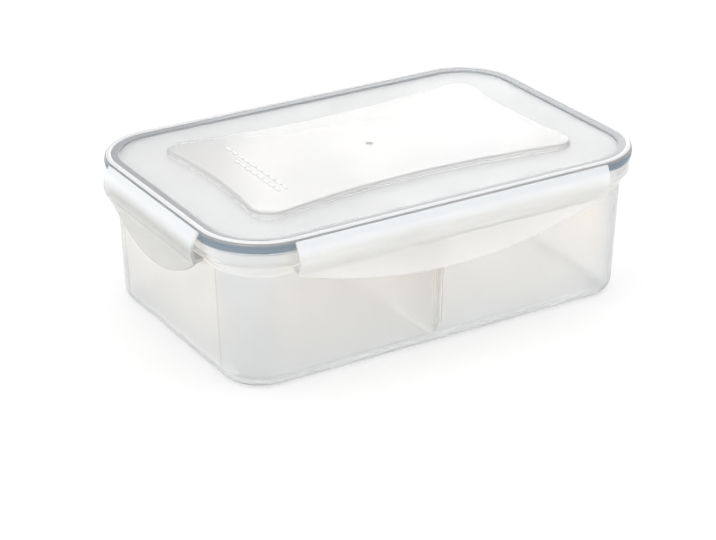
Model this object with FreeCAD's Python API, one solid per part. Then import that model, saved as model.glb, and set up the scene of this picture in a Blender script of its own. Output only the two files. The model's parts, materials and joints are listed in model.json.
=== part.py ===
"""Clip-lid food storage container: a drafted box, a lid with a moulded seal, four hinged
locking flaps and a lift-out divider.  Millimetres, +Z up, origin at the centre of the foot."""
import FreeCAD, Part
import os
from math import acos, atan2, cos, hypot, radians, sin, tan

V = FreeCAD.Vector

# ---- Overall sizes, measured over the lid's rim, and the height of the open box
LENGTH = 240.0
WIDTH = 157.0
BOX_HEIGHT = 75.4
RIM_CORNER = 33.0            # plan radius of the rim's corners

# ---- Box
WALL = 1.6
FLOOR = 2.0
DRAFT = 2.2                  # degrees, the wall's lean for leaving the mould
WALL_INSET = 6.2             # from the rim's edge in to the wall, just under the shoulder
CORNER_STEP = 9.1            # the wall's corners there are this much tighter in plan than the rim's
WALL_CORNER = RIM_CORNER - CORNER_STEP
FOOT_ROUND = 6.0             # round between wall and floor
FOOT_RING = 10.0             # width of the ring that the box stands on
FOOT_RECESS = 0.7
SHOULDER_RISE = 6.0          # the wall flares out over this height
SHOULDER_ROUND = 3.0
SHOULDER_LIFT = 0.5          # the inner flare sits this much higher, to thicken the shoulder
COLLAR_INSET = 0.8           # from the rim's edge to the collar's outer face
COLLAR_THICK = 3.0
COLLAR_DROP = 2.7            # from the lip's top down to the collar's top
LIP_INSET = 2.0              # from the rim's edge to the lip's outer face
COLLAR_BAND = 6.7            # height of the collar's upright face
LIP_ROUND = 0.5

# ---- Divider and the ribs that guide it
DIVIDER_THICK = 1.8
DIVIDER_PLACE = -4.0         # from the box's middle, along its length
DIVIDER_CLEARANCE = 0.4
DIVIDER_DROP = 16.4          # from the box's lip down to the divider's top edge
DIVIDER_CORNER = 9.0
DIVIDER_TOP_ROUND = 2.5
GUIDE_THICK = 1.1
GUIDE_REACH = 1.7            # how far a guide rib stands in from the wall
GUIDE_FOOT = 11.0            # height of the ribs' lower ends
GUIDE_RUNOUT = 4.0           # the ribs stop this far under the shoulder

# ---- Lid and its seal
RIM_LAYER = 1.2              # clear layer over the seal
RIM_ROUND = 1.0
RIM_STEP = 0.4               # the rim steps down to the panel this far inside the seal's wall
SEAL_BAND = 1.4              # seal between the lip's top and the lid
SEAL_WIDTH = 6.5             # from the rim's edge to the seal's inner face
SEAL_LEG = 5.0               # the leg hangs this far below the lip's top, inside the lip
SEAL_SKIRT = 1.7             # thickness of the skirt that shows at the corners
SEAL_CLEARANCE = 0.3         # to the lip, on either side
SKIRT_ROUND = 0.7
PLUG_WALL = 1.5              # upright wall just inside the seal
PLUG_CLEARANCE = 0.3
PLUG_DEPTH = 4.4             # below the lip's top
PANEL = 1.4                  # thickness of the lid's panel
PANEL_SINK = 0.9             # from the rim's top down to the panel
PLATEAU_RISE = 3.1           # from the panel up to the raised field
PLATEAU_MARGIN_X = 27.5      # from the rim's edge to the field's corners, before rounding
PLATEAU_MARGIN_Y = 24.0
PLATEAU_DIP_X = 5.5          # the field's ends curve in by this much
PLATEAU_DIP_Y = 10.5         # and its long sides by this much
PLATEAU_CORNER = 10.0
PLATEAU_ROUND = 1.4
GATE_RADIUS = 1.5            # dimple left where the plastic was injected
GATE_DEPTH = 0.35

# ---- Locking flaps, one on each side, and their hinges
FLAP_THICK = 1.7
FLAP_END_GAP = 0.4           # from a flap's end to the corner skirt
SKIRT_LAP = 1.0              # the skirts end this far round the corner's curve
HINGE_OUT = 0.55             # from the rim's edge out to the hinge axis
HINGE_DROP = 1.4             # from the rim's top down to the hinge axis
KNUCKLE = 0.8                # radius of the rounded edge that the flap turns on
HINGE_GAP = 0.45             # running gap in the lid's groove
HINGE_BEAD = 2.0             # the rim is thickened downwards by this much along a flap
HOOK_REACH = 2.4             # the hook ends this far inside the rim's edge
HOOK_CLEARANCE = 0.5         # under the shoulder
HOOK_HEIGHT = 3.0
HOOK_LEAN = 0.3              # the hook's nose leans in this much towards its top
HOOK_RISE = 0.4              # its top slopes up to the flap by this much
HOOK_ROOT = 1.0              # and is buried in the flap this deep
FLAP_CORNER = 3.0
LONG_FLAP_DROP = 31.0        # from the hinge to the lowest point of a long side's flap
LONG_FLAP_END = 15.6         # from the hinge to its corners
SHORT_FLAP_DROP = 32.0
SHORT_FLAP_END = 14.0

# The flap's outer face, as (out, down) from the hinge axis: the bulge over the collar,
# the tuck below it and the upright finger tab.
NECK = (1.75, 1.5)
BULGE_TOP = (3.65, 6.4)
BULGE_FOOT = (3.55, 10.6)
TUCK = (1.6, 16.4)
TAB_TOP = (0.65, 22.5)
TAB_FOOT = (0.85, 35.0)
NECK_INNER = (0.92, 2.7)     # inner face, at the neck

PAST = 1.0                   # cutting shapes reach this far past what they cut
LEVEL = 1e-3                 # how near to a height an edge must be to count as lying there

# ---- Sizes that follow
LIP_TOP = BOX_HEIGHT
LID_UNDERSIDE = LIP_TOP + SEAL_BAND
RIM_TOP = LID_UNDERSIDE + RIM_LAYER
COLLAR_TOP = LIP_TOP - COLLAR_DROP
COLLAR_FOOT = COLLAR_TOP - COLLAR_BAND
SHOULDER_FOOT = COLLAR_FOOT - SHOULDER_RISE
CAVITY_INSET = COLLAR_INSET + COLLAR_THICK
PANEL_TOP = RIM_TOP - PANEL_SINK
PLUG_INSET = SEAL_WIDTH + PLUG_CLEARANCE
HINGE_Z = RIM_TOP - HINGE_DROP


# ---------------------------------------------------------------- plan outlines
def outline(inset, z, corner=None):
    """The rim's plan outline, brought in by inset, as four lines and four arcs."""
    r = RIM_CORNER - inset if corner is None else corner
    hx = LENGTH / 2 - inset
    hy = WIDTH / 2 - inset
    edges = []
    corners = [(1, 1, 0), (-1, 1, 90), (-1, -1, 180), (1, -1, 270)]
    for (sx, sy, start), (nx, ny, _) in zip(corners, corners[1:] + corners[:1]):
        centre = V(sx * (hx - r), sy * (hy - r), z)
        points = [centre + V(r * cos(radians(start + a)), r * sin(radians(start + a)), 0)
                  for a in (0, 45, 90)]
        ahead = V(nx * (hx - r), ny * (hy - r), z)
        turn = radians(start + 90)
        edges.append(Part.Arc(*points).toShape())
        edges.append(Part.LineSegment(points[2], ahead + V(r * cos(turn), r * sin(turn), 0)).toShape())
    return Part.Wire(edges)


def prism(inset, z0, z1, corner=None):
    return Part.Face(outline(inset, z0, corner)).extrude(V(0, 0, z1 - z0))


def flare(inset0, corner0, z0, inset1, corner1, z1):
    return Part.makeLoft([outline(inset0, z0, corner0), outline(inset1, z1, corner1)], True, True)


def block(x0, x1, y0, y1, z0, z1):
    return Part.makeBox(x1 - x0, y1 - y0, z1 - z0, V(x0, y0, z0))


def level_edges(shape, z, keep=lambda edge: True):
    """Edges that lie flat at height z."""
    return [e for e in shape.Edges
            if abs(e.BoundBox.ZMin - z) < LEVEL and abs(e.BoundBox.ZMax - z) < LEVEL and keep(e)]


def reach(edge):
    """How far an edge's middle lies outside the rim's outline (less than 0 inside it)."""
    p = edge.valueAt((edge.FirstParameter + edge.LastParameter) / 2)
    qx = abs(p.x) - (LENGTH / 2 - RIM_CORNER)
    qy = abs(p.y) - (WIDTH / 2 - RIM_CORNER)
    inside = min(max(qx, qy), 0)
    return hypot(max(qx, 0), max(qy, 0)) + inside - RIM_CORNER


# ---------------------------------------------------------------- box
def wall_inset(z, inward=0.0):
    """Inset of the drafted wall's face at height z."""
    return WALL_INSET + inward + (SHOULDER_FOOT - z) * tan(radians(DRAFT))


def wall_corner(z, inward=0.0):
    return WALL_CORNER + WALL_INSET - wall_inset(z, inward)


def drafted(z0, z1, inward=0.0):
    return flare(wall_inset(z0, inward), wall_corner(z0, inward), z0,
                 wall_inset(z1, inward), wall_corner(z1, inward), z1)


def box_outside():
    body = drafted(0, SHOULDER_FOOT)
    body = body.makeFillet(FOOT_ROUND, level_edges(body, 0))
    shoulder = flare(WALL_INSET, WALL_CORNER, SHOULDER_FOOT,
                     COLLAR_INSET, RIM_CORNER - COLLAR_INSET, COLLAR_FOOT)
    collar = prism(COLLAR_INSET, COLLAR_FOOT, COLLAR_TOP)
    upper = shoulder.fuse(collar).removeSplitter()
    upper = upper.makeFillet(SHOULDER_ROUND, level_edges(upper, COLLAR_FOOT))
    upper = upper.makeFillet(LIP_ROUND, level_edges(upper, COLLAR_TOP))
    lip = prism(LIP_INSET, COLLAR_TOP - LIP_ROUND, LIP_TOP)
    lip = lip.makeFillet(LIP_ROUND, level_edges(lip, LIP_TOP))
    outside = body.fuse([upper, lip]).removeSplitter()
    return outside.makeFillet(SHOULDER_ROUND, level_edges(outside, SHOULDER_FOOT))


def box_cavity():
    """The box's inside: the drafted space, the flare under the shoulder and the mouth."""
    foot = SHOULDER_FOOT + SHOULDER_LIFT
    lower = drafted(FLOOR, foot, WALL)
    lower = lower.makeFillet(FOOT_ROUND - WALL, level_edges(lower, FLOOR))
    upper = flare(wall_inset(foot, WALL), wall_corner(foot, WALL), foot,
                  CAVITY_INSET, RIM_CORNER - CAVITY_INSET, COLLAR_FOOT + SHOULDER_LIFT)
    mouth = prism(CAVITY_INSET, COLLAR_FOOT + SHOULDER_LIFT, LIP_TOP + PAST)
    cavity = lower.fuse([upper, mouth]).removeSplitter()
    bends = level_edges(cavity, foot) + level_edges(cavity, COLLAR_FOOT + SHOULDER_LIFT)
    return cavity.makeFillet(SHOULDER_ROUND, bends)


def guide_ribs(outside):
    """Two pairs of upright ribs that hold the divider's ends, following the drafted wall."""
    near = DIVIDER_THICK / 2 + DIVIDER_CLEARANCE
    ribs = []
    top = SHOULDER_FOOT - GUIDE_RUNOUT
    inner = drafted(FLOOR, SHOULDER_FOOT, WALL + GUIDE_REACH)
    for sx in (-1, 1):
        x0, x1 = sorted((DIVIDER_PLACE + sx * near, DIVIDER_PLACE + sx * (near + GUIDE_THICK)))
        slab = block(x0, x1, -WIDTH / 2, WIDTH / 2, GUIDE_FOOT, top)
        ribs.append(slab.common(outside).cut(inner))
    return ribs


def make_box():
    outside = box_outside()
    recess_inset = wall_inset(0) + FOOT_RING
    recess = prism(recess_inset, -PAST, FOOT_RECESS, wall_corner(0) - FOOT_RING)
    shell = outside.cut(box_cavity()).cut(recess)
    return shell.fuse(guide_ribs(outside)).removeSplitter()


def make_divider():
    """A plate cut to the box's drafted section, with rounded corners, standing on the floor."""
    top = LIP_TOP - DIVIDER_DROP
    half = [WIDTH / 2 - wall_inset(z, WALL + DIVIDER_CLEARANCE) for z in (FLOOR, top)]
    x = DIVIDER_PLACE - DIVIDER_THICK / 2
    corners = [V(x, -half[0], FLOOR), V(x, half[0], FLOOR), V(x, half[1], top), V(x, -half[1], top)]
    plate = Part.Face(Part.makePolygon(corners + corners[:1])).extrude(V(DIVIDER_THICK, 0, 0))
    across = [e for e in plate.Edges if e.BoundBox.XLength > DIVIDER_THICK / 2]
    plate = plate.makeFillet(DIVIDER_CORNER, [e for e in across if e.BoundBox.ZMax < top / 2])
    across = [e for e in plate.Edges if e.BoundBox.XLength > DIVIDER_THICK / 2]
    return plate.makeFillet(DIVIDER_TOP_ROUND, [e for e in across if e.BoundBox.ZMin > top - LEVEL])


# ---------------------------------------------------------------- flap ranges on the rim
def flap_half(side):
    """Half the length of the flap on a long or short side: the rim's straight run."""
    run = LENGTH if side == "long" else WIDTH
    return run / 2 - RIM_CORNER + SKIRT_LAP - FLAP_END_GAP


def flap_ranges(z0, z1, margin=FLAP_END_GAP):
    """Blocks over the four stretches of rim that carry a flap."""
    a = flap_half("long") + margin
    b = flap_half("short") + margin
    depth = RIM_CORNER / 2
    blocks = []
    for s in (-1, 1):
        y0, y1 = sorted((s * (WIDTH / 2 - depth), s * (WIDTH / 2 + depth)))
        blocks.append(block(-a, a, y0, y1, z0, z1))
        x0, x1 = sorted((s * (LENGTH / 2 - depth), s * (LENGTH / 2 + depth)))
        blocks.append(block(x0, x1, -b, b, z0, z1))
    return Part.makeCompound(blocks)


# ---------------------------------------------------------------- seal
def make_seal():
    """Soft ring in the lid's channel: a band on the lip, a leg inside it, skirts at the corners."""
    skirt_foot = COLLAR_TOP + SEAL_CLEARANCE
    outer = prism(0, skirt_foot, LID_UNDERSIDE)
    outer = outer.makeFillet(SKIRT_ROUND, level_edges(outer, skirt_foot))
    skirt = outer.cut(prism(SEAL_SKIRT, skirt_foot - PAST, LID_UNDERSIDE + PAST))
    skirt = skirt.cut(flap_ranges(skirt_foot - PAST, LID_UNDERSIDE + PAST))
    leg_inset = CAVITY_INSET + SEAL_CLEARANCE
    leg_foot = LIP_TOP - SEAL_LEG
    leg = prism(leg_inset, leg_foot, LIP_TOP)
    leg = leg.makeFillet(SKIRT_ROUND, level_edges(leg, leg_foot))
    band = prism(SEAL_SKIRT, LIP_TOP, LID_UNDERSIDE)
    ring = band.fuse(leg).cut(prism(SEAL_WIDTH, leg_foot - PAST, LID_UNDERSIDE + PAST))
    return ring.fuse(skirt).removeSplitter()


# ---------------------------------------------------------------- lid
def plateau(z0, z1, shrink=0.0):
    """The raised field: its four sides curve inwards between rounded corners."""
    cx = LENGTH / 2 - PLATEAU_MARGIN_X - shrink
    cy = WIDTH / 2 - PLATEAU_MARGIN_Y - shrink
    wx, wy = cx - PLATEAU_DIP_X, cy - PLATEAU_DIP_Y
    points = [V(cx, cy, z0), V(-cx, cy, z0), V(-cx, -cy, z0), V(cx, -cy, z0)]
    waists = [V(0, wy, z0), V(-wx, 0, z0), V(0, -wy, z0), V(wx, 0, z0)]
    sides = [Part.Arc(points[i], waists[i], points[(i + 1) % 4]).toShape() for i in range(4)]
    field = Part.Face(Part.Wire(sides)).extrude(V(0, 0, z1 - z0))
    upright = [e for e in field.Edges if e.BoundBox.ZLength > (z1 - z0) / 2]
    return field.makeFillet(PLATEAU_CORNER - shrink, upright)


def hinge_bar(radius, side):
    """A round bar along the hinge axis of the flap at -Y (long) or -X (short)."""
    half = flap_half(side) + FLAP_END_GAP
    if side == "long":
        return Part.makeCylinder(radius, 2 * half, V(-half, -WIDTH / 2 - HINGE_OUT, HINGE_Z), V(1, 0, 0))
    return Part.makeCylinder(radius, 2 * half, V(-LENGTH / 2 - HINGE_OUT, -half, HINGE_Z), V(0, 1, 0))


def opposite(shape):
    """The same piece on the far side of the container."""
    turned = shape.copy()
    turned.rotate(V(0, 0, 0), V(0, 0, 1), 180)
    return turned


def make_lid():
    rim = prism(0, LID_UNDERSIDE, RIM_TOP)
    rim = rim.makeFillet(RIM_ROUND, level_edges(rim, RIM_TOP))
    plug_foot = LIP_TOP - PLUG_DEPTH
    plug = prism(PLUG_INSET, plug_foot, LID_UNDERSIDE)
    plug = plug.makeFillet(LIP_ROUND, level_edges(plug, plug_foot))
    well = prism(PLUG_INSET + RIM_STEP, PANEL_TOP, RIM_TOP + PAST)
    hollow = prism(PLUG_INSET + PLUG_WALL, plug_foot - PAST, PANEL_TOP - PANEL)
    lid = rim.fuse(plug).cut(well).cut(hollow).removeSplitter()
    lid = lid.makeFillet(LIP_ROUND, level_edges(lid, RIM_TOP, lambda e: reach(e) < -SEAL_WIDTH))

    field = plateau(PANEL_TOP - PANEL / 2, PANEL_TOP + PLATEAU_RISE)
    field = field.makeFillet(PLATEAU_ROUND, level_edges(field, PANEL_TOP + PLATEAU_RISE))
    under = plateau(PANEL_TOP - PANEL - PAST, PANEL_TOP + PLATEAU_RISE - PANEL, PANEL)
    lid = lid.fuse(field).cut(under).removeSplitter()
    gate = Part.makeCylinder(GATE_RADIUS, PAST, V(0, 0, PANEL_TOP + PLATEAU_RISE - GATE_DEPTH))
    lid = lid.cut(gate)

    bead_foot = LID_UNDERSIDE - HINGE_BEAD
    ring = prism(0, bead_foot, LID_UNDERSIDE).cut(prism(SEAL_SKIRT, bead_foot - PAST, LID_UNDERSIDE + PAST))
    lid = lid.fuse(ring.common(flap_ranges(bead_foot - PAST, LID_UNDERSIDE + PAST))).removeSplitter()
    for side in ("long", "short"):
        groove = hinge_bar(KNUCKLE + HINGE_GAP, side)
        lid = lid.cut(groove).cut(opposite(groove))
    return lid


# ---------------------------------------------------------------- locking flaps
def tangent_point(target, hand):
    """Where a line from target, as (out, down), touches the knuckle's circle."""
    spread = acos(KNUCKLE / hypot(*target))
    angle = atan2(target[0], target[1]) + hand * spread
    return KNUCKLE * sin(angle), KNUCKLE * cos(angle)


def flap_section():
    """The flap's cross-section in the (out, up) plane of the hinge axis, as a face in XZ."""
    def at(p):
        return V(p[0], 0, -p[1])

    knots = [NECK, BULGE_TOP, BULGE_FOOT, TUCK, TAB_TOP, TAB_FOOT]
    outer = Part.BSplineCurve()
    outer.interpolate([at(p) for p in knots])
    inner_points = [at(NECK_INNER)]
    for p in knots[1:]:
        along = outer.tangent(outer.parameter(at(p)))[0]
        inner_points.append(at(p) + V(along.z, 0, -along.x) * FLAP_THICK)
    inner = Part.BSplineCurve()
    inner.interpolate(inner_points)
    touch_out = tangent_point(NECK, 1)
    touch_in = tangent_point(NECK_INNER, -1)
    edges = [
        Part.Arc(at(touch_in), V(-KNUCKLE, 0, 0), at(touch_out)).toShape(),
        Part.LineSegment(at(touch_out), at(NECK)).toShape(),
        outer.toShape(),
        Part.LineSegment(at(TAB_FOOT), inner_points[-1]).toShape(),
        inner.toShape(),
        Part.LineSegment(at(NECK_INNER), at(touch_in)).toShape(),
    ]
    return Part.Face(Part.Wire(Part.__sortEdges__(edges)))


def hook_section():
    """The ridge on the flap's inner face that catches under the box's shoulder."""
    slope = SHOULDER_RISE / (WALL_INSET - COLLAR_INSET)
    tip = -HOOK_REACH - HINGE_OUT
    top = COLLAR_FOOT - (HOOK_REACH - COLLAR_INSET) * slope - HOOK_CLEARANCE - HINGE_Z
    root = TUCK[0] - FLAP_THICK / 2
    points = [V(tip, 0, top), V(tip + HOOK_LEAN, 0, top - HOOK_HEIGHT / 2),
              V(root, 0, top - HOOK_HEIGHT), V(root + HOOK_ROOT, 0, top + HOOK_RISE)]
    return Part.Face(Part.makePolygon(points + points[:1]))


def flap_outline(half, drop, end):
    """The flap seen square on: upright ends, rounded corners and a lower edge in one arc."""
    top = 2 * KNUCKLE
    foot = [V(-half, 0, -end), V(0, 0, -drop), V(half, 0, -end)]
    edges = [
        Part.Arc(*foot).toShape(),
        Part.LineSegment(foot[2], V(half, 0, top)).toShape(),
        Part.LineSegment(V(half, 0, top), V(-half, 0, top)).toShape(),
        Part.LineSegment(V(-half, 0, top), foot[0]).toShape(),
    ]
    depth = 2 * BULGE_TOP[0] + HOOK_REACH
    cutter = Part.Face(Part.Wire(edges)).extrude(V(0, 2 * depth, 0))
    cutter.translate(V(0, -depth, 0))
    corners = [e for e in cutter.Edges
               if e.BoundBox.YLength > depth and abs(e.BoundBox.ZMax + end) < LEVEL]
    return cutter.makeFillet(FLAP_CORNER, corners)


def make_flap(side, drop, end):
    """A flap built at the origin along X, its outside towards -Y, then set on its hinge axis."""
    half = flap_half(side)
    strip = flap_section().extrude(V(0, 2 * half, 0))
    hook = hook_section().extrude(V(0, 2 * half, 0))
    body = strip.fuse(hook).removeSplitter()
    body.translate(V(0, -half, 0))
    body.rotate(V(0, 0, 0), V(0, 0, 1), -90)
    body = body.common(flap_outline(half, drop, end))
    if side == "short":
        body.rotate(V(0, 0, 0), V(0, 0, 1), -90)
        body.translate(V(-LENGTH / 2 - HINGE_OUT, 0, HINGE_Z))
    else:
        body.translate(V(0, -WIDTH / 2 - HINGE_OUT, HINGE_Z))
    return body


# ---------------------------------------------------------------- build
def main():
    os.makedirs("parts", exist_ok=True)
    flap_front = make_flap("long", LONG_FLAP_DROP, LONG_FLAP_END)
    flap_left = make_flap("short", SHORT_FLAP_DROP, SHORT_FLAP_END)
    pieces = {
        "box": make_box(),
        "divider": make_divider(),
        "seal": make_seal(),
        "lid": make_lid(),
        "flap_front": flap_front,
        "flap_back": opposite(flap_front),
        "flap_left": flap_left,
        "flap_right": opposite(flap_left),
    }
    for name, shape in pieces.items():
        shape.exportStep(f"parts/{name}.step")
        b = shape.BoundBox
        print(f"{name}: {len(shape.Solids)} solid, {len(shape.Faces)} faces, "
              f"{shape.Volume / 1000:.2f} cm3, valid {shape.isValid()}, "
              f"x {b.XMin:.1f} {b.XMax:.1f}, y {b.YMin:.1f} {b.YMax:.1f}, z {b.ZMin:.1f} {b.ZMax:.1f}")


main()
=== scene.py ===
# %% [markdown]
# # A clip-lid food storage container
#
# The real object is a rectangular two-litre box of natural polypropylene, thin enough
# to be milky and see-through.  Its lid carries a blue-grey elastomer seal under a clear
# rim, four flaps that hang from the rim lock it to the box, and a loose plate parts the
# inside in two.  The shapes come from the CAD model; this file gives them their finish,
# adds what is too fine for CAD, and sets up the camera and a plain white studio.

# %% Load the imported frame
import json
from math import cos, pi, radians, sin

import bpy
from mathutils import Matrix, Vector

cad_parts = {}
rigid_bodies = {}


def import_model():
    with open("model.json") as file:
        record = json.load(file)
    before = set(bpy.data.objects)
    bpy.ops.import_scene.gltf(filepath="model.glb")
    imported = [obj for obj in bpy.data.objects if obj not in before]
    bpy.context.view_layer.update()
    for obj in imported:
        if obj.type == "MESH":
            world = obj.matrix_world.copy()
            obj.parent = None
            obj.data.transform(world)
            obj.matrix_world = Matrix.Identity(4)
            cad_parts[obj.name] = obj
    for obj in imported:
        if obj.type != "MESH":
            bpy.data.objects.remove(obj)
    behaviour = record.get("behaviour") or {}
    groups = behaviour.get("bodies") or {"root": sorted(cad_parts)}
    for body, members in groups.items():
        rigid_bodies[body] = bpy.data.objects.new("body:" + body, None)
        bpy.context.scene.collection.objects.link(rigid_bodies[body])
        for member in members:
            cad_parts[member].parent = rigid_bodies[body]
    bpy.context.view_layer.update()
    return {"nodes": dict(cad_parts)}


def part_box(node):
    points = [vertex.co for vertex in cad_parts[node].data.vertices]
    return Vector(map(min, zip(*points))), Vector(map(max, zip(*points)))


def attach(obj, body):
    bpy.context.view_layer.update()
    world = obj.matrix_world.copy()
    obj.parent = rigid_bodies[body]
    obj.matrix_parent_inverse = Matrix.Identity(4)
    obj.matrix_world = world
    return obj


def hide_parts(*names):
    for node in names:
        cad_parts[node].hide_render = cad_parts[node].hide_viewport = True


for leftover in list(bpy.data.objects):
    bpy.data.objects.remove(leftover)
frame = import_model()
nodes = frame["nodes"]
MM = 0.001
print("nodes:", sorted(nodes))

# %% [markdown]
# ## Colours
#
# Colours are written as the sRGB hex values that a designer would pick, and one function
# turns them into the linear values that the shaders use.


# %% Hex colours to linear
def linear(hex_colour):
    """(r, g, b, 1) in linear light by the sRGB rule, from a string such as 'F4F2EF'."""
    channels = [int(hex_colour[i:i + 2], 16) / 255 for i in (0, 2, 4)]
    return [c / 12.92 if c <= 0.04045 else ((c + 0.055) / 1.055) ** 2.4
            for c in channels] + [1.0]


print("natural polypropylene in linear light:", [round(c, 3) for c in linear("F4F2EF")])

# %% [markdown]
# ## Camera
#
# A product shot of a low box is taken from a little above with a long lens, so that its
# edges stay nearly parallel.  The camera is set by where it looks, from which compass
# angle and height, and how far away it stands.

# %% Camera
AIM = Vector((-26.62, -32.64, 30.0)) * MM
AZIMUTH = radians(-31.391)
ELEVATION = radians(25.165)
DISTANCE = 1082.4 * MM
LENS = 111.28
SENSOR_WIDTH = 36.0
FARTHEST_SEEN = 50.0

outward = Vector((sin(AZIMUTH) * cos(ELEVATION), -cos(AZIMUTH) * cos(ELEVATION),
                  sin(ELEVATION)))
camera_data = bpy.data.cameras.new("camera")
camera_data.sensor_width = SENSOR_WIDTH
camera_data.lens = LENS
camera_data.clip_end = FARTHEST_SEEN
camera = bpy.data.objects.new("camera", camera_data)
camera.location = AIM + outward * DISTANCE
camera.rotation_euler = (-outward).to_track_quat("-Z", "Y").to_euler()
scene = bpy.context.scene
scene.collection.objects.link(camera)
scene.camera = camera
print("camera at", [round(v, 3) for v in camera.location])

# %% [markdown]
# ## Studio
#
# The container stands in a light tent: a white floor, white all round, and soft light
# from everywhere with a little more from above.  The surroundings are pure white to the
# camera and in reflections, and a bit darker as a source of light, so that the faces of
# the box keep different greys.  Every finish and the surroundings are chains of shader
# nodes, so the first thing needed is a helper that adds one node.


# %% One helper that adds a shader node
def add(tree, kind, settings=None, inputs=None, links=None):
    """A new node of this kind: settings are its own options, inputs are values for its
    sockets, and links are outputs of other nodes to join to its sockets."""
    node = tree.nodes.new(kind)
    for name, value in (settings or {}).items():
        setattr(node, name, value)
    for name, value in (inputs or {}).items():
        node.inputs[name].default_value = value
    for name, output in (links or {}).items():
        tree.links.new(output, node.inputs[name])
    return node


def blank_material(name):
    """A material with an empty node tree."""
    material = bpy.data.materials.new(name)
    material.use_nodes = True
    material.node_tree.nodes.clear()
    return material, material.node_tree


print("helpers for nodes are ready")

# %% World: white to look at, softer as light
TENT_LIGHT = 0.92


def seen_share(tree):
    """1 for what the camera sees, straight, in a reflection or through plastic, else 0."""
    path = add(tree, "ShaderNodeLightPath")
    seen = path.outputs["Is Camera Ray"]
    for name in ("Is Glossy Ray", "Is Transmission Ray"):
        step = add(tree, "ShaderNodeMath", {"operation": "MAXIMUM"},
                   links={0: seen, 1: path.outputs[name]})
        seen = step.outputs[0]
    return seen


world = bpy.data.worlds.new("light_tent")
scene.world = world
world.use_nodes = True
tree = world.node_tree
tree.nodes.clear()
strength = add(tree, "ShaderNodeMapRange", inputs={"To Min": TENT_LIGHT, "To Max": 1.0},
               links={"Value": seen_share(tree)})
background = add(tree, "ShaderNodeBackground", inputs={"Color": linear("FFFFFF")},
                 links={"Strength": strength.outputs["Result"]})
add(tree, "ShaderNodeOutputWorld", links={"Surface": background.outputs[0]})
scene.view_settings.view_transform = "Standard"
print("tent light", TENT_LIGHT)

# %% [markdown]
# ## Lamps
#
# Three softboxes add the last of the light.  One hangs high over the lid, one stands low
# on the left so that the left wall is not lost, and a small one behind on the right
# draws the thin bright lines along the rim.  They are large next to the box, because
# glossy plastic shows the shape of every lamp that lights it.

# %% Soft lamps
LAMP_TARGET = Vector((0, 0, 0.05))


def soft_lamp(name, place, size, power):
    """A square softbox aimed at the container: place and size in metres, power in watts."""
    lamp_data = bpy.data.lights.new(name, "AREA")
    lamp_data.size = size
    lamp_data.energy = power
    lamp = bpy.data.objects.new(name, lamp_data)
    lamp.location = place
    lamp.rotation_euler = (LAMP_TARGET - Vector(place)).to_track_quat("-Z", "Y").to_euler()
    scene.collection.objects.link(lamp)


soft_lamp("top_softbox", (0.0, 0.1, 1.6), 1.2, 2.2)
soft_lamp("left_softbox", (-1.6, -1.2, 0.6), 1.0, 12.5)
soft_lamp("back_right_softbox", (0.80, 0.95, 0.52), 0.7, 2.0)

# %% [markdown]
# ## Floor
#
# The box stands on white card.  A white card under even light is never quite as white as
# the surroundings, so a small glow lifts it.  The glow is seen, also in reflections and
# through the plastic, but it lights nothing, so the soft shadow round the foot of the box
# stays.

# %% White floor that keeps the soft shadow
FLOOR_SIZE = 8.0
FLOOR_GLOW = 0.05

bpy.ops.object.select_all(action="DESELECT")
bpy.ops.mesh.primitive_plane_add(size=FLOOR_SIZE, location=(0, 0, 0))
floor = bpy.context.object
floor.name = "floor"
material, tree = blank_material("white_card")
card = add(tree, "ShaderNodeBsdfDiffuse", inputs={"Color": linear("FCFCFC")})
glow = add(tree, "ShaderNodeMath", {"operation": "MULTIPLY"}, inputs={1: FLOOR_GLOW},
           links={0: seen_share(tree)})
lit = add(tree, "ShaderNodeEmission", inputs={"Color": linear("FFFFFF")},
          links={"Strength": glow.outputs[0]})
both = add(tree, "ShaderNodeAddShader", links={0: card.outputs[0], 1: lit.outputs[0]})
add(tree, "ShaderNodeOutputMaterial", links={"Surface": both.outputs[0]})
floor.data.materials.append(material)
print("floor", FLOOR_SIZE, "m")

# %% [markdown]
# ## Where on the lid
#
# Several finishes change with the distance from the rim's edge: the rim is glossy, the
# panel inside it is finely matt.  The lid's outline is a rectangle with round corners,
# so the distance in from that outline is worked out once, as a chain of nodes, and used
# wherever a finish needs it.

# %% Places read from the frame
seal_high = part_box("seal")[1]
RIM_HALF = Vector((seal_high.x, seal_high.y))
RIM_CORNER = 33.0 * MM
CLEAR_LAYER = 1.2 * MM
RIM_TOP = seal_high.z + CLEAR_LAYER
PLATEAU_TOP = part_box("lid")[1].z
corner_axis = (RIM_HALF.x - RIM_CORNER, RIM_HALF.y - RIM_CORNER)
print("rim half size in mm", [round(v / MM, 2) for v in RIM_HALF],
      "top", round(RIM_TOP / MM, 2))


# %% Node chains that measure where a point lies
def from_corner_axis(tree, axis):
    """How far a point lies past this corner axis along x and y, the same for all four."""
    place = add(tree, "ShaderNodeTexCoord").outputs["Object"]
    mirrored = add(tree, "ShaderNodeVectorMath", {"operation": "ABSOLUTE"}, links={0: place})
    return add(tree, "ShaderNodeVectorMath", {"operation": "SUBTRACT"},
               inputs={1: (axis[0], axis[1], 0)}, links={0: mirrored.outputs[0]})


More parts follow.
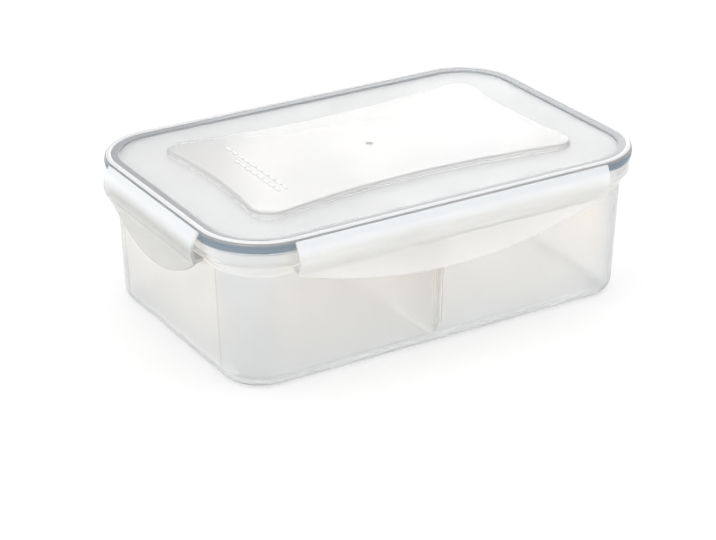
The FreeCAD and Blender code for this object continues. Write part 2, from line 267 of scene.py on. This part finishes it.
def inset_in_mm(tree):
    """The distance in from the rim's outline, in mm."""
    past = from_corner_axis(tree, corner_axis)
    flat = add(tree, "ShaderNodeVectorMath", {"operation": "MULTIPLY"},
               inputs={1: (1, 1, 0)}, links={0: past.outputs[0]})
    round_part = add(tree, "ShaderNodeVectorMath", {"operation": "MAXIMUM"},
                     inputs={1: (0, 0, 0)}, links={0: flat.outputs[0]})
    length = add(tree, "ShaderNodeVectorMath", {"operation": "LENGTH"},
                 links={0: round_part.outputs[0]})
    axes = add(tree, "ShaderNodeSeparateXYZ", links={0: past.outputs[0]})
    larger = add(tree, "ShaderNodeMath", {"operation": "MAXIMUM"},
                 links={0: axes.outputs[0], 1: axes.outputs[1]})
    inside = add(tree, "ShaderNodeMath", {"operation": "MINIMUM"}, inputs={1: 0.0},
                 links={0: larger.outputs[0]})
    out = add(tree, "ShaderNodeMath", {"operation": "ADD"},
              links={0: length.outputs["Value"], 1: inside.outputs[0]})
    return add(tree, "ShaderNodeMath", {"operation": "MULTIPLY_ADD"},
               inputs={1: -1 / MM, 2: RIM_CORNER / MM}, links={0: out.outputs[0]}).outputs[0]


def height(tree):
    """The height over the table."""
    place = add(tree, "ShaderNodeTexCoord").outputs["Object"]
    return add(tree, "ShaderNodeSeparateXYZ", links={0: place}).outputs[2]


def step_between(tree, value, start, end):
    """0 where value is under start, 1 where it is over end, and smooth between."""
    return add(tree, "ShaderNodeMapRange", {"interpolation_type": "SMOOTHSTEP"},
               inputs={"From Min": start, "From Max": end, "To Min": 0.0, "To Max": 1.0},
               links={"Value": value}).outputs["Result"]


print("round corners' axes in mm:", [round(v / MM, 2) for v in corner_axis])

# %% [markdown]
# ## Moulded texture
#
# No moulded surface is perfectly even.  The steel of the mould leaves a grain finer than
# a millimetre, and the plastic sets with slow waves a few centimetres across, where it is
# a little glossier or duller.  Both come from noise whose size is given in millimetres.
# The real grain is too fine to show, so it is drawn several times coarser.


# %% Grain and slow waves
NOISE_DETAIL = 2.0
NOISE_LOW, NOISE_HIGH = 0.3, 0.7
SATIN_GRAIN_MM = 0.8
SATIN_GRAIN_HEIGHT_MM = 0.006


def noise_of_size(tree, size_mm):
    """Noise between 0 and 1 whose lumps are about size_mm across."""
    place = add(tree, "ShaderNodeTexCoord").outputs["Object"]
    return add(tree, "ShaderNodeTexNoise",
               inputs={"Scale": 1 / (size_mm * MM), "Detail": NOISE_DETAIL},
               links={"Vector": place}).outputs[0]


def moulded_texture(tree, body, roughness, wave_mm, spread,
                    grain_mm=SATIN_GRAIN_MM, grain_height_mm=SATIN_GRAIN_HEIGHT_MM):
    """Joins grain to the normal, and a roughness that drifts by this spread to the gloss."""
    drift = add(tree, "ShaderNodeMapRange",
                inputs={"From Min": NOISE_LOW, "From Max": NOISE_HIGH,
                        "To Min": 1 - spread, "To Max": 1 + spread},
                links={"Value": noise_of_size(tree, wave_mm)})
    gloss = add(tree, "ShaderNodeMath", {"operation": "MULTIPLY"},
                links={1: drift.outputs["Result"]})
    if isinstance(roughness, float):
        gloss.inputs[0].default_value = roughness
    else:
        tree.links.new(roughness, gloss.inputs[0])
    tree.links.new(gloss.outputs[0], body.inputs["Roughness"])
    grain = add(tree, "ShaderNodeBump",
                inputs={"Strength": 1.0, "Distance": grain_height_mm * MM},
                links={"Height": noise_of_size(tree, grain_mm)})
    tree.links.new(grain.outputs[0], body.inputs["Normal"])


print("satin grain", SATIN_GRAIN_MM, "mm across,", SATIN_GRAIN_HEIGHT_MM, "mm high")

# %% [markdown]
# ## Polypropylene
#
# Natural polypropylene is neither clear nor white: light goes through it, scattered.  A
# mix of rough glass and a milky body gives that, and the share of milk sets how clearly
# the far wall shows.  Shadow rays go nearly straight through, because a thin milky wall
# casts only a faint shadow.

# %% Polypropylene
SHADOW_CLEAR = 0.97
PLASTIC_IOR = 1.49


def polypropylene(name, tint, milk):
    """Moulded polypropylene: part rough glass, part milky body, that lets lamps through."""
    material, tree = blank_material(name)
    body = add(tree, "ShaderNodeBsdfPrincipled", inputs={
        "Base Color": linear(tint), "IOR": PLASTIC_IOR, "Transmission Weight": 1.0 - milk})
    path = add(tree, "ShaderNodeLightPath")
    clear = add(tree, "ShaderNodeBsdfTransparent",
                inputs={"Color": [SHADOW_CLEAR] * 3 + [1.0]})
    mix = add(tree, "ShaderNodeMixShader",
              links={0: path.outputs["Is Shadow Ray"], 1: body.outputs[0], 2: clear.outputs[0]})
    add(tree, "ShaderNodeOutputMaterial", links={"Surface": mix.outputs[0]})
    return material, tree, body


def two_tones(tree, share, first, second):
    """A colour that goes from first to second as share goes from 0 to 1.  Each is a hex
    colour or the colour output of another node."""
    tone = add(tree, "ShaderNodeMix", {"data_type": "RGBA"}, links={"Factor": share})
    for socket, colour in ((tone.inputs[6], first), (tone.inputs[7], second)):
        if isinstance(colour, str):
            socket.default_value = linear(colour)
        else:
            tree.links.new(colour, socket)
    return tone.outputs[2]


print("shadow rays keep", SHADOW_CLEAR, "of their light at each surface")

# %% [markdown]
# ## Box and divider
#
# The box is the clearest moulding: thin, even walls with a satin surface.  Its tint
# carries painted light and shade: a slightly warm tint high up is painted light, and a
# cooler grey near the floor is painted shade, for the inside of the floor seen through the
# wall.  The upright corners are painted a little greyer too: a painted shade for looking
# through more plastic there.

# %% Box and divider finish
PAINTED_SHADE_UNDER = 2.0 * MM
PAINTED_LIGHT_OVER = 40.0 * MM
SHADED_CORNER_START = (82.0 * MM, 40.0 * MM)
CORNER_BLEND = 20.0 * MM


def past_corner_axis(tree):
    """How far a point lies past the place where the painted corner shade starts, both ways."""
    past = from_corner_axis(tree, SHADED_CORNER_START)
    axes = add(tree, "ShaderNodeSeparateXYZ", links={0: past.outputs[0]})
    return add(tree, "ShaderNodeMath", {"operation": "MINIMUM"},
               links={0: axes.outputs[0], 1: axes.outputs[1]}).outputs[0]


def give_finish(piece, material):
    """Makes this the only material of a piece."""
    piece.data.materials.clear()
    piece.data.materials.append(material)


box_pp, tree, body = polypropylene("moulded_polypropylene_box", "FEFDFB", milk=0.15)
# The tint by height is painted light and shade: warm high up, cooler and greyer low down.
painted_light_by_height = step_between(tree, height(tree), PAINTED_SHADE_UNDER, PAINTED_LIGHT_OVER)
lit_and_shaded_wall_tone = two_tones(tree, painted_light_by_height, "FAFBFB", "FFFCF8")
# The upright corners are painted greyer: a painted shade, not a thicker wall.
thickness = step_between(tree, past_corner_axis(tree), 0.0, CORNER_BLEND)
tree.links.new(two_tones(tree, thickness, lit_and_shaded_wall_tone, "F4F5F5"), body.inputs["Base Color"])
moulded_texture(tree, body, roughness=0.18, wave_mm=30.0, spread=0.25)
give_finish(nodes["box"], box_pp)

divider_pp, tree, body = polypropylene("moulded_polypropylene_divider", "FEFDFB", milk=0.2)
moulded_texture(tree, body, roughness=0.20, wave_mm=24.0, spread=0.25)
print("box and divider finish done")

# %% [markdown]
# ## Lid
#
# The lid has three finishes in one moulding.  The rim over the seal is polished so that
# the coloured seal shows through it, the panel is finely matt, and the raised field in
# the middle is smooth again.  One material that changes by place keeps it one piece,
# with soft changes between the three.

# %% Lid finish
RIM_WIDTH_MM = 7.1
RIM_BLEND_MM = 0.2
FIELD_FROM = PLATEAU_TOP - 3.0 * MM
FIELD_FULL = PLATEAU_TOP - 2.0 * MM

lid_pp, tree, body = polypropylene("clarified_polypropylene_lid", "FEFEFE", milk=0.3)
on_panel = step_between(tree, inset_in_mm(tree), RIM_WIDTH_MM - RIM_BLEND_MM,
                        RIM_WIDTH_MM + RIM_BLEND_MM)
on_plateau = step_between(tree, height(tree), FIELD_FROM, FIELD_FULL)


def by_place(tree, rim, panel, plateau):
    """A value for each of the lid's three finishes."""
    outer = add(tree, "ShaderNodeMix", {"data_type": "FLOAT"},
                inputs={"A": rim, "B": panel}, links={"Factor": on_panel})
    return add(tree, "ShaderNodeMix", {"data_type": "FLOAT"}, inputs={"B": plateau},
               links={"Factor": on_plateau, "A": outer.outputs["Result"]}).outputs["Result"]


tree.links.new(by_place(tree, rim=0.72, panel=0.66, plateau=0.68),
               body.inputs["Transmission Weight"])
panel_tone = two_tones(tree, on_panel, "FEFEFE", "F7F8F8")
tree.links.new(two_tones(tree, on_plateau, panel_tone, "EEEEEE"), body.inputs["Base Color"])
moulded_texture(tree, body, roughness=by_place(tree, rim=0.10, panel=0.42, plateau=0.16),
                wave_mm=26.0, spread=0.2, grain_mm=0.5, grain_height_mm=0.004)
print("lid finish done, field from", round(FIELD_FROM / MM, 1), "mm up")

# %% [markdown]
# ## Flaps
#
# The flaps are milkier than the lid, and whitest at the hinge, where the plastic is bent
# and thick; there the bluish white tint is also a painted highlight of the light from
# above on the bulge.  The long and the short ones differ only in the tint of the tab,
# which on the short side flaps is painted shade, so one function makes both finishes.
# Their roughness is kept low, on one side of the value where the renderer's noise filter
# starts to treat a surface as a mirror, because it draws outlines on a surface that
# crosses that value.

# %% Flap finish
TAB_CLEAR = 0.68
HINGE_CLEAR = 0.45
TAB_UNDER = 67.0 * MM
HINGE_OVER = 74.0 * MM


def flap_finish(name, tab_tint_and_painted_shade):
    """Whitest at the hinge, where the bluish tint is partly a painted highlight; clearer on the
    tab, whose grey on the short flaps is painted shade.
    """
    material, tree, body = polypropylene(name, "FDFEFE", milk=1 - TAB_CLEAR)
    near_hinge = step_between(tree, height(tree), TAB_UNDER, HINGE_OVER)
    # The bluish white near the hinge is partly a painted highlight; the tab tint is painted
    # shade on the short flaps.
    tree.links.new(two_tones(tree, near_hinge, tab_tint_and_painted_shade, "F8FAFC"), body.inputs["Base Color"])
    clear = add(tree, "ShaderNodeMix", {"data_type": "FLOAT"},
                inputs={"A": TAB_CLEAR, "B": HINGE_CLEAR}, links={"Factor": near_hinge})
    tree.links.new(clear.outputs["Result"], body.inputs["Transmission Weight"])
    moulded_texture(tree, body, roughness=0.19, wave_mm=20.0, spread=0.2)
    return material


long_flap_pp = flap_finish("clarified_polypropylene_long_flap", "FBFBFA")
# The grey tab tint of the short side flaps is painted shade.
shaded_short_flap_pp = flap_finish("clarified_polypropylene_short_flap_painted_shade", "E1E1DF")
print("flap finishes done")

# %% [markdown]
# ## Seal
#
# The seal is a soft elastomer in a blue-grey, moulded as one ring.  Its skirt shows in
# the open at the four corners, between the flaps.  Under the clear rim its tint is painted
# paler: a painted light for the white light that the plastic over it scatters.  One
# material does both: it takes its tint from the distance in from the rim's edge.

# %% Seal finish
SKIRT_END_MM = 1.5
BAND_START_MM = 1.9
RUBBER_IOR = 1.5

seal_tpe, tree = blank_material("tpe_seal")
body = add(tree, "ShaderNodeBsdfPrincipled", inputs={"IOR": RUBBER_IOR})
under_lid = step_between(tree, inset_in_mm(tree), SKIRT_END_MM, BAND_START_MM)
# The paler tint under the rim is painted light, for light scattered by the clear plastic over
# the seal.
tree.links.new(two_tones(tree, under_lid, "778590", "B2C0CE"), body.inputs["Base Color"])
moulded_texture(tree, body, roughness=0.38, wave_mm=12.0, spread=0.3,
                grain_mm=0.6, grain_height_mm=0.010)
add(tree, "ShaderNodeOutputMaterial", links={"Surface": body.outputs[0]})
give_finish(nodes["seal"], seal_tpe)
print("seal finish done")

# %% [markdown]
# ## The rim's bead
#
# A rounded bead runs once round the rim, just inside its edge.  It stiffens the lid.  It
# is milkier than the rim, so the bright white line that one sees from above, between two
# thin dark lines, is partly light caught on its round and partly a painted highlight.
# It is one oval section that is pulled along each straight side and spun round each
# corner, so that it follows the rim exactly.  Spin counts a turn to the left as negative.

# %% An oval section carried round the rim
BEAD_INSET = 1.9 * MM
BEAD_WIDTH = 2.6 * MM
BEAD_RISE = 0.6 * MM
BEAD_SIDES = 16
BEND_STEPS = 16
WELD = 0.02 * MM


def ring_along_rim(name, inset, z, half_width, rise):
    """An oval section carried once round the rim at this inset."""
    bpy.ops.object.select_all(action="DESELECT")
    sx, sy = corner_axis
    bpy.ops.mesh.primitive_circle_add(
        vertices=BEAD_SIDES, radius=1.0, fill_type="NOTHING",
        location=(-sx, -(RIM_HALF.y - inset), z), rotation=(0, pi / 2, 0))
    ring = bpy.context.object
    ring.name = name
    bpy.ops.object.transform_apply(location=False, rotation=True, scale=False)
    ring.scale = (1, half_width, rise)
    bpy.ops.object.transform_apply(location=True, rotation=True, scale=True)
    bpy.ops.object.mode_set(mode="EDIT")
    bpy.ops.mesh.select_all(action="SELECT")
    runs = [(2 * sx, 0), (0, 2 * sy), (-2 * sx, 0), (0, -2 * sy)]
    centres = [(sx, -sy), (sx, sy), (-sx, sy), (-sx, -sy)]
    for (dx, dy), (cx, cy) in zip(runs, centres):
        bpy.ops.mesh.extrude_region_move(TRANSFORM_OT_translate={"value": (dx, dy, 0)})
        bpy.ops.mesh.spin(steps=BEND_STEPS, angle=-pi / 2, center=(cx, cy, z), axis=(0, 0, 1))
    bpy.ops.mesh.select_all(action="SELECT")
    bpy.ops.mesh.remove_doubles(threshold=WELD)
    bpy.ops.mesh.normals_make_consistent(inside=False)
    bpy.ops.object.mode_set(mode="OBJECT")
    bpy.ops.object.shade_smooth()
    return ring


print("bead section", round(BEAD_WIDTH / MM, 1), "by", round(2 * BEAD_RISE / MM, 1), "mm")

# %% The bead
bead = ring_along_rim("rim_bead", BEAD_INSET, RIM_TOP, BEAD_WIDTH / 2, BEAD_RISE)
# Its extra milk makes it whiter than the rim: partly a painted highlight.
bead_pp, tree, body = polypropylene("glossy_polypropylene_bead", "FEFEFE", milk=0.6)
moulded_texture(tree, body, roughness=0.08, wave_mm=16.0, spread=0.2,
                grain_height_mm=0.003)
bead.data.materials.append(bead_pp)
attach(bead, "root")
print("rim bead:", len(bead.data.vertices), "vertices, half length",
      round(max(v.co.x for v in bead.data.vertices) / MM, 2), "mm")

# %% [markdown]
# ## Copies that stand for a CAD piece
#
# Six CAD pieces get a small change of shape that is too fine for CAD.  The sharp edges of
# the divider and the four flaps are eased, as any moulded edge is, and catch the light.
# The lid's raised field sinks by the height of the dashes that go on it, so that their
# tops end where the CAD model ends.  A CAD mesh is loose triangles, so each copy is
# merged first.


# %% A merged copy of a CAD node
MERGE = 0.001 * MM


def merged_copy(node_name, name, body, material):
    """A copy of a CAD node, its triangles merged, that stands for the node."""
    bpy.ops.object.select_all(action="DESELECT")
    piece = nodes[node_name].copy()
    piece.data = nodes[node_name].data.copy()
    piece.name = name
    scene.collection.objects.link(piece)
    bpy.context.view_layer.objects.active = piece
    piece.select_set(True)
    bpy.ops.mesh.customdata_custom_splitnormals_clear()
    bpy.ops.object.mode_set(mode="EDIT")
    bpy.ops.mesh.select_all(action="SELECT")
    bpy.ops.mesh.remove_doubles(threshold=MERGE)
    bpy.ops.object.mode_set(mode="OBJECT")
    give_finish(piece, material)
    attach(piece, body)
    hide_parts(node_name)
    return piece


print("copies are merged within", MERGE / MM, "mm")

# %% Divider and flaps with eased edges
FLAT_WITHIN = radians(0.05)
SHARP_OVER = radians(40)
SMOOTH_UNDER = radians(35)
EASE_STEPS = 3
PLATE_EASE = 0.35 * MM
FLAP_EASE = 0.30 * MM


def ease_edges(piece, width):
    """Rounds the sharp edges of the active piece."""
    bpy.ops.object.mode_set(mode="EDIT")
    bpy.ops.mesh.select_all(action="SELECT")
    bpy.ops.mesh.dissolve_limited(angle_limit=FLAT_WITHIN)
    bpy.ops.object.mode_set(mode="OBJECT")
    ease = piece.modifiers.new("ease", "BEVEL")
    ease.width = width
    ease.segments = EASE_STEPS
    ease.limit_method = "ANGLE"
    ease.angle_limit = SHARP_OVER
    bpy.ops.object.modifier_apply(modifier="ease")
    bpy.ops.object.shade_smooth_by_angle(angle=SMOOTH_UNDER)
    print(piece.name, len(piece.data.polygons), "faces")


ease_edges(merged_copy("divider", "divider_plate", "root", divider_pp), PLATE_EASE)
for side, material in (("front", long_flap_pp), ("back", long_flap_pp),
                       ("left", shaded_short_flap_pp), ("right", shaded_short_flap_pp)):
    ease_edges(merged_copy("flap_" + side, "locking_flap_" + side, side + "_flap",
                           material), FLAP_EASE)

# %% Lid with its raised field sunk
DASH_RISE = 0.25 * MM
SINK_DEPTH = 1.2 * MM
LID_SMOOTH_UNDER = radians(30)

shell = merged_copy("lid", "lid_shell", "root", lid_pp)
bpy.ops.object.mode_set(mode="EDIT")
bpy.ops.mesh.select_mode(type="VERT")
bpy.ops.mesh.select_all(action="DESELECT")
bpy.ops.object.mode_set(mode="OBJECT")
for vertex in shell.data.vertices:
    vertex.select = vertex.co.z > PLATEAU_TOP - SINK_DEPTH
bpy.ops.object.mode_set(mode="EDIT")
bpy.ops.transform.resize(value=(1, 1, 1 - DASH_RISE / SINK_DEPTH),
                         center_override=(0, 0, PLATEAU_TOP - SINK_DEPTH))
bpy.ops.object.mode_set(mode="OBJECT")
bpy.ops.object.shade_smooth_by_angle(angle=LID_SMOOTH_UNDER)
field_top = max(v.co.z for v in shell.data.vertices)
print("lid shell", len(shell.data.polygons), "faces, field at",
      round(field_top / MM, 2), "mm")

# %% [markdown]
# ## Ridges on the seal's corners
#
# Each corner skirt of the seal has one fine ridge along it, just under the rim, which
# shows as a lighter line.  It is a round section spun once through the corner.  The four
# are alike, so one function makes the ridge and turns it into its corner.

# %% Seal ridges
RIDGE = 0.35 * MM
RIDGE_SIDES = 10
RIDGE_STEPS = 24
RIDGE_REACH = RIM_CORNER - 0.1 * MM
RIDGE_HEIGHT = seal_high.z - 1.3 * MM
RIDGE_START = radians(2.5)
RIDGE_SMOOTH_UNDER = radians(50)


def corner_ridge(name, quarter):
    """A fine ridge round one corner skirt of the seal."""
    bpy.ops.object.select_all(action="DESELECT")
    bpy.ops.mesh.primitive_circle_add(
        vertices=RIDGE_SIDES, radius=RIDGE, fill_type="NGON",
        location=(RIDGE_REACH * cos(RIDGE_START), RIDGE_REACH * sin(RIDGE_START), RIDGE_HEIGHT),
        rotation=(pi / 2, 0, RIDGE_START))
    ridge = bpy.context.object
    ridge.name = name
    bpy.ops.object.transform_apply(location=True, rotation=True, scale=True)
    bpy.ops.object.mode_set(mode="EDIT")
    bpy.ops.mesh.select_all(action="SELECT")
    bpy.ops.mesh.spin(steps=RIDGE_STEPS, angle=-(pi / 2 - 2 * RIDGE_START),
                      center=(0, 0, RIDGE_HEIGHT), axis=(0, 0, 1))
    bpy.ops.mesh.select_all(action="SELECT")
    bpy.ops.mesh.normals_make_consistent(inside=False)
    bpy.ops.object.mode_set(mode="OBJECT")
    bpy.ops.object.shade_smooth_by_angle(angle=RIDGE_SMOOTH_UNDER)
    side_x = 1 if quarter in (0, 3) else -1
    side_y = 1 if quarter in (0, 1) else -1
    ridge.rotation_euler = (0, 0, quarter * pi / 2)
    ridge.location = (side_x * corner_axis[0], side_y * corner_axis[1], 0)
    bpy.ops.object.transform_apply(location=True, rotation=True, scale=True)
    ridge.data.materials.append(seal_tpe)
    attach(ridge, "root")
    return ridge


for quarter in range(4):
    ridge = corner_ridge(f"seal_ridge_{quarter + 1}", quarter)
    print(ridge.name, "reaches",
          [round(max(abs(v.co[k]) for v in ridge.data.vertices) / MM, 1) for k in range(3)])

# %% [markdown]
# ## Dashes on the lid
#
# Lids of this kind carry two rows of small raised marks at one end of the field.  Here
# they are plain dashes: one bar with eased edges, which an array repeats along the row
# at an even pitch, so that all are alike.

# %% Raised dashes on the lid
BAR_WIDTH = 1.4 * MM
BAR_EASE = 0.25 * MM
BAR_EASE_STEPS = 3
BAR_SHARE = 0.72
MARK_SMOOTH_UNDER = radians(40)
ROW_START = -29.5 * MM


def row_of_bars(name, x, y_start, y_end, count):
    """A row of short raised bars, all alike, from y_start to y_end."""
    bpy.ops.object.select_all(action="DESELECT")
    pitch = (y_end - y_start) / count
    bpy.ops.mesh.primitive_cube_add(
        size=1, location=(x, y_start + pitch / 2, PLATEAU_TOP - DASH_RISE))
    bar = bpy.context.object
    bar.name = name
    bar.scale = (BAR_WIDTH, pitch * BAR_SHARE, 2 * DASH_RISE)
    bpy.ops.object.transform_apply(location=True, rotation=True, scale=True)
    bpy.ops.object.mode_set(mode="EDIT")
    bpy.ops.mesh.select_all(action="SELECT")
    bpy.ops.mesh.bevel(offset=BAR_EASE, segments=BAR_EASE_STEPS)
    bpy.ops.object.mode_set(mode="OBJECT")
    row = bar.modifiers.new("row", "ARRAY")
    row.count = count
    row.use_relative_offset = False
    row.use_constant_offset = True
    row.constant_offset_displace = (0, pitch, 0)
    bpy.ops.object.modifier_apply(modifier="row")
    bpy.ops.object.shade_smooth_by_angle(angle=MARK_SMOOTH_UNDER)
    bar.data.materials.append(bead_pp)
    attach(bar, "root")
    print(name, count, "bars at a pitch of", round(pitch / MM, 2), "mm")


for name, x, row_end, count in (("lid_dashes_long", -63.4 * MM, 33.0 * MM, 10),
                                ("lid_dashes_short", -67.7 * MM, 16.0 * MM, 8)):
    row_of_bars(name, x, ROW_START, row_end, count)

# %% [markdown]
# ## Gate mark
#
# The plastic is injected through one small gate in the middle of the lid, and the stub
# that is left there is rougher than the rest; here it is also tinted grey.  It is a low
# disc whose top is inset and pushed down a little, which leaves a lip that catches the light.

# %% Gate mark
GATE_RADIUS = 1.8 * MM
GATE_DEPTH = 0.3 * MM
GATE_SIDES = 32
GATE_LIP = 0.45 * MM
GATE_DIP = 0.12 * MM
GATE_SUNK = 0.08 * MM
FACES_UP = 0.9

bpy.ops.object.select_all(action="DESELECT")
bpy.ops.mesh.primitive_cylinder_add(vertices=GATE_SIDES, radius=GATE_RADIUS, depth=GATE_DEPTH,
                                    location=(0, 0, field_top - GATE_SUNK))
gate = bpy.context.object
gate.name = "gate_mark"
bpy.ops.object.transform_apply(location=True, rotation=True, scale=True)
bpy.ops.object.mode_set(mode="EDIT")
bpy.ops.mesh.select_all(action="DESELECT")
bpy.ops.object.mode_set(mode="OBJECT")
for face in gate.data.polygons:
    face.select = face.normal.z > FACES_UP
bpy.ops.object.mode_set(mode="EDIT")
bpy.ops.mesh.inset(thickness=GATE_LIP, depth=-GATE_DIP)
bpy.ops.object.mode_set(mode="OBJECT")
bpy.ops.object.shade_smooth_by_angle(angle=MARK_SMOOTH_UNDER)
gate_pp, tree, body = polypropylene("gate_stub_polypropylene", "C6C6C4", milk=0.8)
moulded_texture(tree, body, roughness=0.5, wave_mm=2.0, spread=0.3,
                grain_mm=0.4, grain_height_mm=0.02)
gate.data.materials.append(gate_pp)
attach(gate, "root")
print("gate mark", round(GATE_RADIUS * 2 / MM, 1), "mm across")

# %% [markdown]
# ## Light through many layers
#
# A ray that goes through a flap, two walls, the divider and the lid crosses ten surfaces,
# and it is black where it runs out of steps.  So the numbers of bounces are raised, and
# that keeps the inside of the box as bright as it really is.

# %% Bounces
scene.cycles.transparent_max_bounces = 32
scene.cycles.max_bounces = 32
scene.cycles.transmission_bounces = 28
scene.cycles.diffuse_bounces = 12
scene.cycles.glossy_bounces = 16
